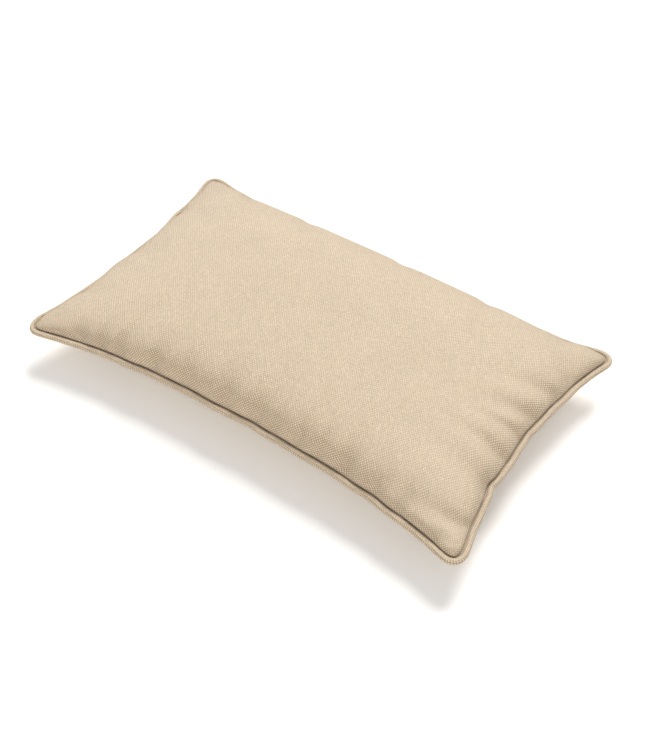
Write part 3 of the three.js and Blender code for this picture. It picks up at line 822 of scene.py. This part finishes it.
def woven(name, colour, gap_shade_colour, weave):
    """Plain weave: proud warp and lower weft pass over and under each other, unevenly spun.

    Painted shade darkens the gaps between the yarns, and deepens further where the cloth slopes down
    the cushion's sides.
    """
    pitches, gap_shade_level, relief, yarn_tone, weft_height = weave
    shader = Shader(name)
    along, across = shader.cloth_axes()
    place = shader.vector(along, across)
    pitch = min(pitches)
    wander = shader.span(shader.noise(place, 0.15 / pitch, 1.0), 0, 1, -0.45, 0.45)
    x = shader.add(shader.times(along, 1 / pitches[0]), wander)
    y = shader.add(shader.times(across, 1 / pitches[1]), wander)
    column = shader.math("FLOOR", x)
    row = shader.math("FLOOR", y)
    arch_x = shader.math("SINE", shader.times(shader.math("FRACT", x), math.pi))
    arch_y = shader.math("SINE", shader.times(shader.math("FRACT", y), math.pi))
    parity = shader.math("FLOORED_MODULO", shader.add(column, row), 2.0)
    over = shader.span(parity, 0, 1, -1, 1)
    round_x = shader.math("POWER", arch_x, 0.6)
    round_y = shader.math("POWER", arch_y, 0.6)
    warp = shader.times(shader.add(round_x, shader.times(over, arch_y)), 0.5)
    weft = shader.times(shader.math("SUBTRACT", round_y, shader.times(over, arch_x)), 0.5 * weft_height)
    height = shader.math("MAXIMUM", warp, weft)
    is_warp = shader.math("GREATER_THAN", warp, weft)
    slub_x = shader.noise(shader.vector(x, shader.times(y, 0.3)), 0.8, 1.0)
    slub_y = shader.noise(shader.vector(shader.times(x, 0.3), y), 0.8, 1.0)
    tone = shader.node("Mix")
    shader.put(tone.inputs["Factor"], is_warp)
    shader.put(tone.inputs["A"], slub_y)
    shader.put(tone.inputs["B"], slub_x)
    crossing = shader.add(shader.random(column, row), shader.times(tone.outputs["Result"], 2.0))
    tone_level = shader.span(crossing, 0.6, 2.4, 1 - yarn_tone, 1 + yarn_tone)
    # Painted shade: the low places between the yarns are mixed towards the gap shade colour, more so
    # where the cloth slopes.
    opening = shader.span(shader.slope(), *SLOPE_RANGE, gap_shade_level, min(1.0, gap_shade_level * SLOPE_GAP_SHADE_GAIN))
    painted_gap_shade = shader.times(shader.span(height, 0.1, 0.8, 1, 0), opening)
    mottle = shader.span(shader.noise(place, 22.0, 3.0, 0.6), 0.3, 0.7, 0.975, 1.025)
    fibres = shader.span(shader.noise(place, 2.6 / pitch, 2.0, 0.7), 0.3, 0.7, 0.92, 1.08)
    brightness = shader.times(tone_level, shader.times(fibres, mottle))
    shader.set(
        Base_Color=shader.shaded(colour, gap_shade_colour, brightness, painted_gap_shade),
        Roughness=shader.span(height, 0, 1, 1.0, 0.86),
        Sheen_Weight=0.15,
        Sheen_Roughness=0.5,
        Specular_IOR_Level=0.15,
    )
    fuzz = shader.times(shader.noise(place, 5.0 / pitch, 2.0, 0.7), 0.25)
    shader.bump(shader.add(height, fuzz), relief)
    return shader.material


def thread(name, colour, twist_pitch):
    """Twisted yarn or rope: fine slanting strands along the object."""
    shader = Shader(name)
    along, across = shader.cloth_axes()
    wave = shader.math("SINE", shader.times(along, 2 * math.pi / twist_pitch))
    strands = shader.span(wave, -1, 1, 0, 1)
    fibres = shader.noise(shader.vector(along, across), 9.0 / twist_pitch, 2.0)
    level = shader.add(shader.span(strands, 0, 1, 0.78, 0.98), shader.times(fibres, 0.12))
    shader.set(
        Base_Color=shader.tinted(colour, level),
        Roughness=0.85,
        Sheen_Weight=0.3,
        Specular_IOR_Level=0.25,
    )
    shader.bump(shader.add(strands, shader.times(fibres, 0.5)), 0.0002)
    return shader.material


def fibre(name, colour):
    """Loose polyester fibre: soft tangled strands."""
    shader = Shader(name)
    place = shader.object_place()
    clumps = shader.noise(place, 60.0, 4.0, 0.6)
    strands = shader.noise(place, 900.0, 3.0, 0.8)
    level = shader.add(shader.span(clumps, 0.3, 0.7, 0.86, 0.98), shader.times(strands, 0.06))
    shader.set(
        Base_Color=shader.tinted(colour, level),
        Roughness=0.9,
        Sheen_Weight=0.5,
        Subsurface_Weight=0.15,
        Subsurface_Scale=0.004,
    )
    shader.bump(shader.add(clumps, shader.times(strands, 0.4)), 0.0012)
    return shader.material


def plastic(name, colour):
    """Nylon coil: smooth, slightly shiny, with faint drawing marks."""
    shader = Shader(name)
    marks = shader.noise(shader.object_place(), 2500.0, 2.0)
    shader.set(
        Base_Color=shader.tinted(colour, shader.span(marks, 0.2, 0.8, 0.94, 1.04)),
        Roughness=shader.span(marks, 0.2, 0.8, 0.32, 0.46),
        Specular_IOR_Level=0.5,
    )
    shader.bump(marks, 0.00003)
    return shader.material


def brushed_metal(name, colour):
    """Plated die casting: brushed along its length and rubbed brighter where it is handled."""
    shader = Shader(name)
    place = shader.node("Mapping")
    shader.put(place.inputs["Vector"], shader.object_place())
    place.inputs["Scale"].default_value = (250.0, 2500.0, 5000.0)
    brushing = shader.noise(place.outputs[0], 1.0, 3.0, 0.6)
    rubbing = shader.noise(shader.object_place(), 400.0, 3.0, 0.6)
    shader.set(
        Base_Color=shader.tinted(colour, shader.span(rubbing, 0.3, 0.7, 0.85, 1.08)),
        Metallic=1.0,
        Roughness=shader.add(
            shader.span(brushing, 0.2, 0.8, 0.20, 0.34),
            shader.span(rubbing, 0.3, 0.7, 0.0, 0.10),
        ),
    )
    shader.bump(brushing, 0.00002)
    return shader.material


def floor_paint(name, colour):
    shader = Shader(name)
    grain = shader.noise(shader.object_place(), 300.0, 3.0)
    shader.set(
        Base_Color=shader.tinted(colour, shader.span(grain, 0.3, 0.7, 0.995, 1.0)),
        Roughness=0.9,
        Specular_IOR_Level=0.1,
    )
    return shader.material


cover_cloth = woven("cover_cloth", COVER_COLOUR, COVER_GAP_SHADE_COLOUR, COVER_WEAVE)
piping_cloth = woven("piping_cloth", PIPING_COLOUR, COVER_GAP_SHADE_COLOUR, COVER_WEAVE)
ticking_cloth = woven("ticking_cloth", TICKING_COLOUR, TICKING_GAP_SHADE_COLOUR, TICKING_WEAVE)
tape_cloth = woven("tape_cloth", TAPE_COLOUR, TAPE_GAP_SHADE_COLOUR, TAPE_WEAVE)
cord_yarn = thread("cord_yarn", CORD_COLOUR, 0.0012)
sewing_thread = thread("sewing_thread", THREAD_COLOUR, 0.0005)
fill_fibre = fibre("fill_fibre", FILL_COLOUR)
coil_plastic = plastic("coil_plastic", COIL_COLOUR)
zip_metal = brushed_metal("zip_metal", METAL_COLOUR)

# -------- cover

share_a, share_b = cloth_shares()
cloth_uv = np.stack([share_a * CLOTH_HALF_LENGTH, share_b * CLOTH_HALF_WIDTH], -1)


def opening_share(a):
    """1 where the zip opening is along the rear edge, 0 beyond its ends."""
    left_of_opening = OPENING_HALF_LENGTH + OPENING_OVERRUN - np.abs(a) * HALF_LENGTH
    return smoothstep(left_of_opening / OPENING_TAPER)


def opened(a, b, depth):
    """The bottom panel's places, stopping short of the rear seam along the zip by depth."""
    share = opening_share(a) * smoothstep((b - (1 - OPENING_REACH)) / OPENING_REACH)
    return a, b * (1 - depth / CLOTH_HALF_WIDTH * share)


def allowance_rings(border, rise):
    """The seam allowance: it rolls over at the seam and lies flat between the panels."""
    outward = outward_in_plan(border)
    level = border[:, 2:] - rise
    rings = []
    for inset, fall in ALLOWANCE_RINGS:
        ring = border - outward * inset
        ring[:, 2:] = level + rise * (1 - fall)
        rings.append(ring)
    return rings


top_points, top_smooth = settled_panel(top_surface, True, (share_a, share_b))
border = border_loop(*share_a.shape)
top_border = top_points.reshape(-1, 3)[border]
cover_top = panel_piece(
    "cover_top", top_points, cloth_uv, allowance_rings(top_border, TOP_SEAM_EDGE), True)
cloth_piece(cover_top, 1, CLOTH_THICKNESS, cover_cloth, "cover_top_panel")

bottom_places = opened(share_a, share_b, HEM_DEPTH)
bottom_points, bottom_smooth = settled_panel(bottom_surface, False, bottom_places)
bottom_points[..., 2] = np.maximum(bottom_points[..., 2], 0)
bottom_border = bottom_points.reshape(-1, 3)[border]
bottom_uv = np.stack([bottom_places[0] * CLOTH_HALF_LENGTH, bottom_places[1] * CLOTH_HALF_WIDTH], -1)


def hem_rings():
    """The zip side of the bottom panel: its edge is folded in and back down behind itself."""
    rings = []
    hem_share = (opening_share(share_a) * (share_b == 1)).reshape(-1)[border][:, None]
    for past_fold, recess in HEM_RINGS:
        places = opened(share_a, share_b, HEM_DEPTH + past_fold)
        wall = bottom_surface(*unit_places(bottom_surface, *places))
        rings.append((wall - [0, recess, 0]).reshape(-1, 3)[border])
    flat = allowance_rings(bottom_border, -SEAM_EDGE)
    return [lerp(flat_ring, hem_ring, hem_share) for flat_ring, hem_ring in zip(flat, rings)]


cover_bottom = panel_piece("cover_bottom", bottom_points, bottom_uv, hem_rings(), False)
cloth_piece(cover_bottom, 1, CLOTH_THICKNESS, cover_cloth, "cover_bottom_panel")

# -------- piping


def seam_path(step):
    """Points along the seam line at even steps, counter-clockwise from the middle of the rear."""
    share = np.linspace(-1, 1, SEAM_SAMPLES, endpoint=False)
    ones = np.ones_like(share)
    sides = [(-share, ones), (-ones, -share), (share, -ones), (ones, share)]
    u = np.concatenate([side[0] for side in sides])
    v = np.concatenate([side[1] for side in sides])
    points = np.roll(np.stack(outline_point(u, v), -1), -SEAM_SAMPLES // 2, 0)
    closed = closed_path(points)
    travelled = distances(closed)
    count = round(travelled[-1] / step)
    places = np.linspace(0, travelled[-1], count, endpoint=False)
    return np.stack([np.interp(places, travelled, closed[:, k]) for k in range(3)], -1)


def arc_points(radius, start, stop, count):
    angles = np.linspace(start, stop, count)
    return np.stack([radius * np.cos(angles), radius * np.sin(angles)], -1)


def piping_section(distance):
    """The folded strip round its cord, with its two plies running back into the seam."""
    radius = PIPING_RADIUS * min(1 + wavering(distance, PIPING_SWELLS), 1.0)
    ply = np.array([[-PIPING_CENTRE_OFFSET - SEAM_ALLOWANCE, -PIPING_PLY_HALF_GAP]])
    round_part = arc_points(radius, -PIPING_WRAP_ANGLE, PIPING_WRAP_ANGLE, PIPING_SIDES)
    return np.concatenate([ply, round_part, ply * [1, -1]])


def cord_section(distance):
    """Three strands twisted together."""
    angles = round_angles(CORD_SIDES)
    strands = np.abs(np.cos(1.5 * (angles + distance * CORD_TWIST)))
    radius = CORD_RADIUS * (CORD_CORE_SHARE + CORD_STRAND_SHARE * strands)
    return np.stack([radius * np.cos(angles), radius * np.sin(angles)], -1)


seam = seam_path(PIPING_STEP)
seam_outward = outward_in_plan(seam)
seam_up = np.broadcast_to(np.array([0.0, 0.0, 1.0]), seam.shape)
piping_path = seam + seam_outward * PIPING_CENTRE_OFFSET
piping = swept("piping", piping_path, seam_outward, seam_up, piping_section, True)
finish_piece(piping, "cushion", piping_cloth, ["piping_wrap"])
cord = swept("piping_core", piping_path, seam_outward, seam_up, cord_section, True)
finish_piece(cord, "cushion", cord_yarn, ["piping_cord"])

# -------- insert and fill


def under_cover(upward, inset, drop):
    """A layer inside the cover that follows its creases."""
    surface = top_surface if upward else bottom_surface
    creases = top_points - top_smooth if upward else bottom_points - bottom_smooth
    return surface(*unit_places(surface, share_a, share_b), inset, drop, LAYER_EDGE) + creases


for name, upward in (("insert_top", True), ("insert_bottom", False)):
    layer = under_cover(upward, TICKING_INSET, TICKING_DROP)
    panel = panel_piece(name, layer, cloth_uv, [], upward)
    cloth_piece(panel, 0, TICKING_THICKNESS, ticking_cloth, name + "_panel")


def lumps(points, phase):
    """Uneven packing of the fibre: waves that cross at odd angles."""
    x, y = points[..., 0], points[..., 1]
    waves = sum(np.sin(x * rate_x + y * rate_y + turns * phase) for rate_x, rate_y, turns in LUMP_WAVES)
    return waves / len(LUMP_WAVES) * FILL_LUMPS


def fibre_body():
    """The fill as one closed lumpy body: an upper and a lower grid joined along their border."""
    rows, columns = share_a.shape
    upper = under_cover(True, FILL_INSET, FILL_DROP)
    lower = under_cover(False, FILL_INSET, FILL_DROP)
    fade = (1 - share_a ** LUMP_FADE_POWER) * (1 - share_b ** LUMP_FADE_POWER)
    upper[..., 2] -= np.abs(lumps(upper, 0.7)) * fade
    lower[..., 2] += np.abs(lumps(lower, 2.9)) * fade
    loop = border_loop(rows, columns)
    count = rows * columns
    panel = grid_faces(rows, columns)
    following = np.roll(loop, -1)
    sides = np.stack([loop, loop + count, following + count, following], -1)
    points = np.concatenate([upper.reshape(-1, 3), lower.reshape(-1, 3)])
    return new_mesh("insert_fill", points, np.concatenate([panel, panel[:, ::-1] + count, sides]))


fill_piece = smooth_shaded(fibre_body())
finish_piece(fill_piece, "cushion", fill_fibre, ["fibre_fill"])

# -------- zip

rear_y = float(plan_position(np.array(0.0), np.array(1.0))[1])
rear_z = float(seam_height(np.array(0.0), np.array(1.0)))
tape_y = rear_y - TAPE_RECESS
zip_z = rear_z - ZIP_CENTRE_DEPTH


def tape_piece(name, section, node):
    """A strip of zip tape: its section drawn out along the zip."""
    stations = np.arange(-TAPE_HALF_LENGTH, TAPE_HALF_LENGTH + TAPE_STEP / 3, TAPE_STEP)
    profile = [tape_y, rear_z] - np.array(section)
    waver = wavering(stations, TAPE_WAVERS)
    points = np.zeros((len(profile), len(stations), 3))
    points[..., 0] = stations[None, :]
    points[..., 1] = profile[:, :1] + waver[None, :]
    points[..., 2] = profile[:, 1:]
    uv = np.stack(np.meshgrid(stations, distances(profile)), -1)
    obj = new_mesh(name, points, grid_faces(len(profile), len(stations))[:, ::-1])
    give_uv(obj, uv.reshape(-1, 2))
    add_body(smooth_shaded(obj), 0, TAPE_THICKNESS)
    finish_piece(obj, "cushion", tape_cloth, [node])


tape_piece("zip_upper_tape", UPPER_TAPE_PROFILE, "zip_tape_upper")
tape_piece("zip_lower_tape", LOWER_TAPE_PROFILE, "zip_tape_lower")


def coil_row(name, side, node):
    """One row of the zip's coil: a flattened helix of wire, its loops meeting the other row's."""
    turns = round(2 * COIL_HALF_LENGTH / COIL_PITCH)
    angle = np.linspace(0, 2 * math.pi * turns, turns * COIL_STEPS_PER_TURN + 1)
    half_across = (COIL_FAR - COIL_NEAR) / 2
    half_deep = (COIL_HIGH - COIL_LOW) / 2
    shift = 0 if side > 0 else COIL_PITCH / 2
    reach = COIL_HALF_LENGTH - COIL_PITCH / 2
    x = np.linspace(-reach, reach, len(angle)) + shift - COIL_PITCH / 4
    y = tape_y + (COIL_LOW + COIL_HIGH) / 2 + half_deep * np.sin(angle)
    z = zip_z + side * ((COIL_NEAR + COIL_FAR) / 2 + half_across * np.cos(angle))
    path = np.stack([x, y, z], -1)
    tangent = unit(np.gradient(path, axis=0))
    outward_y = half_across * np.sin(angle)
    outward_z = side * half_deep * np.cos(angle)
    outward = unit(np.stack([np.zeros_like(x), outward_y, outward_z], -1))
    third = np.cross(tangent, outward)
    wire = arc_points(COIL_WIRE, 0, 2 * math.pi * (1 - 1 / COIL_WIRE_SIDES), COIL_WIRE_SIDES)
    obj = swept(name, path, outward, third, lambda distance: wire, False)
    finish_piece(obj, "cushion", coil_plastic, [node])


coil_row("zip_upper_coil", 1, "zip_coil_upper")
coil_row("zip_lower_coil", -1, "zip_coil_lower")


def capsule_run(name, centres, directions, half_length, radius):
    """A row of short rounded stitches as one mesh: each has its rings and a point at either end."""
    sides = STITCH_SIDES
    points, faces, uv = [], [], []
    for centre, direction in zip(centres, directions):
        base = len(points)
        side = unit(np.cross(direction, [0.0, 0.0, 1.0]))
        lift = np.cross(side, direction)
        for along, girth in STITCH_RINGS:
            for angle in round_angles(sides):
                offset = side * math.cos(angle) + lift * math.sin(angle)
                points.append(centre + direction * along * half_length + offset * radius * girth)
                uv.append((along * half_length + angle * radius, angle * radius))
        for end in (-1.0, 1.0):
            points.append(centre + direction * end * half_length)
            uv.append((end * half_length, 0.0))
        last_ring = base + (len(STITCH_RINGS) - 1) * sides
        start = last_ring + sides
        for j in range(sides):
            k = (j + 1) % sides
            for ring in range(base, last_ring, sides):
                faces.append([ring + j, ring + k, ring + sides + k, ring + sides + j])
            faces.append([start, base + k, base + j])
            faces.append([start + 1, last_ring + j, last_ring + k])
    obj = new_mesh(name, np.array(points), faces)
    give_uv(obj, np.array(uv))
    if signed_volume(obj) < 0:
        obj.data.flip_normals()
    return smooth_shaded(obj)


def hem_stitches():
    """Topstitching that holds the hem to the zip tape, a few millimetres below the fold."""
    count = round(2 * TAPE_HALF_LENGTH / STITCH_PITCH)
    x = np.linspace(-1, 1, count) * (TAPE_HALF_LENGTH - STITCH_END_MARGIN)
    row = bottom_points[-2]
    y = np.interp(x, row[:, 0], row[:, 1])
    z = np.interp(x, row[:, 0], row[:, 2])
    centres = np.stack([x, y + STITCH_PROUD, z], -1)
    directions = unit(np.gradient(centres, axis=0))
    return capsule_run("zip_topstitch", centres, directions, STITCH_LENGTH / 2, STITCH_RADIUS)


finish_piece(hem_stitches(), "cushion", sewing_thread)

for name, node, body, width in (
    ("zip_stop_top_upper", "zip_top_stop_upper", "cushion", STOP_BEVEL),
    ("zip_stop_top_lower", "zip_top_stop_lower", "cushion", STOP_BEVEL),
    ("zip_stop_bottom", "zip_bottom_stop", "cushion", STOP_BEVEL),
    ("slider_body", "zip_slider", "slider", SLIDER_BEVEL),
    ("slider_link", "zip_pull_link", "pull_link", LINK_BEVEL),
    ("slider_tab", "zip_pull_tab", "pull_tab", TAB_BEVEL),
):
    finish_piece(bevelled_copy(name, node, width), body, zip_metal, [node])

# -------- floor, light and camera


def floor():
    """A plain sheet, wide enough that its edge is out of sight from above."""
    across = np.linspace(-FLOOR_REACH, FLOOR_REACH, FLOOR_POINTS)
    x, y = np.meshgrid(across, across)
    faces = grid_faces(FLOOR_POINTS, FLOOR_POINTS)
    obj = new_mesh("floor", np.stack([x, y, np.zeros_like(x)], -1), faces)
    obj.data.materials.append(floor_paint("floor_paint", FLOOR_COLOUR))
    smooth_shaded(obj)


def facing(azimuth, elevation):
    """The direction from the cushion to something round it."""
    turn = math.radians(azimuth)
    lift = math.radians(elevation)
    level = math.cos(lift)
    return Vector((math.sin(turn) * level, -math.cos(turn) * level, math.sin(lift)))


def soft_light(name, azimuth, elevation, spread, strength, colour):
    """Light from a wide patch of the studio, the same all over the floor."""
    data = bpy.data.lights.new(name, "SUN")
    data.angle = math.radians(spread)
    data.energy = strength
    data.color = colour
    obj = bpy.data.objects.new(name, data)
    obj.rotation_euler = facing(azimuth, elevation).to_track_quat("Z", "Y").to_euler()
    bpy.context.scene.collection.objects.link(obj)


def camera():
    back = facing(CAMERA_AZIMUTH, CAMERA_ELEVATION)
    data = bpy.data.cameras.new("camera")
    data.sensor_width = SENSOR_SIZE
    data.lens = CAMERA_LENS
    data.clip_end = CAMERA_REACH
    obj = bpy.data.objects.new("camera", data)
    obj.location = Vector(CAMERA_TARGET) + back * CAMERA_DISTANCE
    obj.rotation_euler = back.to_track_quat("Z", "Y").to_euler()
    bpy.context.scene.collection.objects.link(obj)
    bpy.context.scene.camera = obj


def daylight():
    """Even light from all round, rising smoothly to meet the white of the floor at the horizon."""
    world = bpy.data.worlds.new("studio")
    world.use_nodes = True
    nodes = world.node_tree.nodes
    links = world.node_tree.links
    parts = nodes.new("ShaderNodeSeparateXYZ")
    links.new(nodes.new("ShaderNodeTexCoord").outputs["Generated"], parts.inputs[0])
    fade = nodes.new("ShaderNodeMapRange")
    fade.interpolation_type = "SMOOTHSTEP"
    for socket, value in zip(fade.inputs[1:5], (0.0, HORIZON_HEIGHT, HORIZON_LEVEL, SKY_LEVEL)):
        socket.default_value = value
    links.new(parts.outputs[2], fade.inputs[0])
    background = nodes["Background"]
    background.inputs["Color"].default_value = (1.0, 1.0, 1.0, 1.0)
    links.new(fade.outputs[0], background.inputs["Strength"])
    bpy.context.scene.world = world


floor()
daylight()
soft_light("key", *KEY_LIGHT)
soft_light("fill", *FILL_LIGHT)
camera()
bpy.context.scene.view_settings.view_transform = "Standard"
